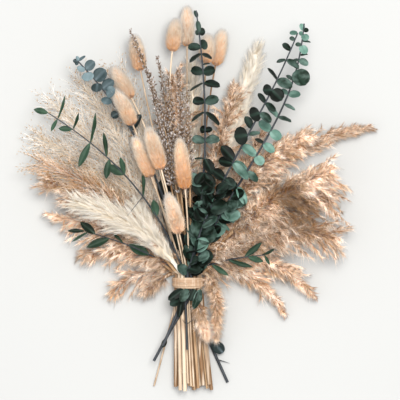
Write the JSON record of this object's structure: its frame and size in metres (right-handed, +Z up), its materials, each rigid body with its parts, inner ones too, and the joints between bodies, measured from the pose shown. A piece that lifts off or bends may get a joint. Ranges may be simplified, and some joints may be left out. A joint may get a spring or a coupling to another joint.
{
  "type": "bundle of dried pampas grass",
  "caption": "Tied bunch of dried pampas grass with brown and cream plumes, bunny tails, flower spikes and eucalyptus, lying on its back for a table or shelf.",
  "frame": {"origin": "on the table, under the middle of the raffia tie", "axes": "+Y along the stalks from the cut ends towards the heads, +X to the right seen from above with the heads away, +Z up from the table"},
  "size_m": [0.3996, 0.4226, 0.0961],
  "materials": {
    "brown_plume": "matte",
    "cream_plume": "matte",
    "bunny_tail": "matte",
    "flower_spike": "matte",
    "airy_grass": "matte",
    "eucalyptus_leaf": "matte",
    "narrow_leaf": "matte",
    "raffia": "matte"
  },
  "bodies": {
    "root": {"reed_left_band": "brown_plume", "reed_left_low": "brown_plume", "reed_left_droop": "brown_plume", "reed_left_hang": "brown_plume", "reed_left_short": "brown_plume", "reed_right_high": "brown_plume", "reed_right_top": "brown_plume", "reed_right_upper": "brown_plume", "reed_right_middle": "brown_plume", "reed_right_droop": "brown_plume", "reed_right_low": "brown_plume", "reed_right_hang": "brown_plume", "reed_back_middle": "brown_plume", "reed_back_left": "brown_plume", "reed_under_tie": "brown_plume", "pampas_front": "cream_plume", "pampas_back_right": "cream_plume", "pampas_back_middle": "cream_plume", "airy_top": "airy_grass", "airy_upper": "airy_grass", "airy_middle": "airy_grass", "airy_side": "airy_grass", "airy_low": "airy_grass", "bunny_top": "bunny_tail", "bunny_top_left": "bunny_tail", "bunny_top_right": "bunny_tail", "bunny_right": "bunny_tail", "bunny_left_top": "bunny_tail", "bunny_left_upper": "bunny_tail", "bunny_left": "bunny_tail", "bunny_low_left": "bunny_tail", "bunny_low": "bunny_tail", "bunny_middle": "bunny_tail", "bunny_front": "bunny_tail", "spike_far_left": "flower_spike", "spike_left": "flower_spike", "spike_middle": "flower_spike", "spike_inner": "flower_spike", "spike_right": "flower_spike", "spike_far_right": "flower_spike", "eucalyptus_middle": "eucalyptus_leaf", "eucalyptus_right_inner": "eucalyptus_leaf", "eucalyptus_right_outer": "eucalyptus_leaf", "eucalyptus_left": "eucalyptus_leaf", "sprig_left_upper": "narrow_leaf", "sprig_left_low": "narrow_leaf", "sprig_right": "narrow_leaf", "tie": "raffia"}
  },
  "joints": []
}
